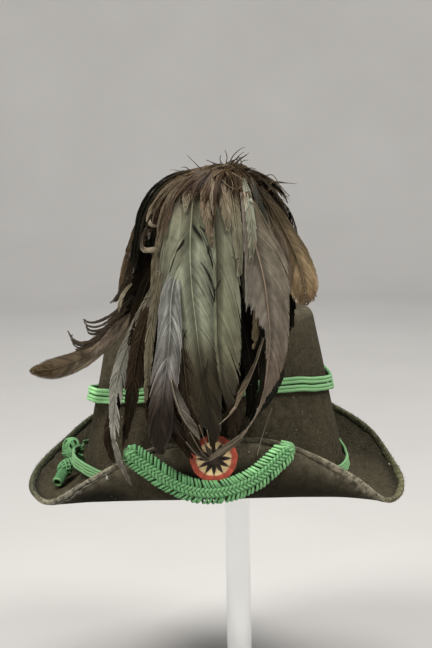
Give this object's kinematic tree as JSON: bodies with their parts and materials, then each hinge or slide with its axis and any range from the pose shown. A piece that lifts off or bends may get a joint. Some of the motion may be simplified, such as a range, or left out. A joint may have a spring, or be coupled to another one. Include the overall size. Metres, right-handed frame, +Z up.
{
  "type": "feathered felt hat on a display stand",
  "caption": "Dark felt Tyrolean-style hat with turned-up brim, green cord trims, ribbon cockade and a full plume of cock's tail feathers, held on a clear plastic display stand",
  "frame": {"origin": "middle of the stand's foot, on the floor and on the rod's axis", "axes": "+Z up along the rod, hat's front (cockade side) toward -Y, +X to the right seen from the front"},
  "size_m": [0.3016, 0.2155, 0.442],
  "materials": {
    "felt": "worn napped felt",
    "edge_ribbon": "faded ribbed ribbon",
    "green_cord": "silky twisted cord",
    "cockade_ribbon": "pleated satin ribbon",
    "feather": "glossy feather",
    "quill": "smooth quill",
    "clear_plastic": "clear polished acrylic"
  },
  "bodies": {
    "root": {"felt_body": "felt", "brim_binding": "edge_ribbon", "band_cord_upper": "green_cord", "band_cord_lower": "green_cord", "base_braid": "green_cord", "cord_knot": "green_cord", "cord_tassel": "green_cord", "front_braid": "green_cord", "cockade": "cockade_ribbon", "plume": "feather", "plume_stem": "quill", "stand_top": "clear_plastic", "stand_rod": "clear_plastic", "stand_base": "clear_plastic"}
  },
  "joints": []
}
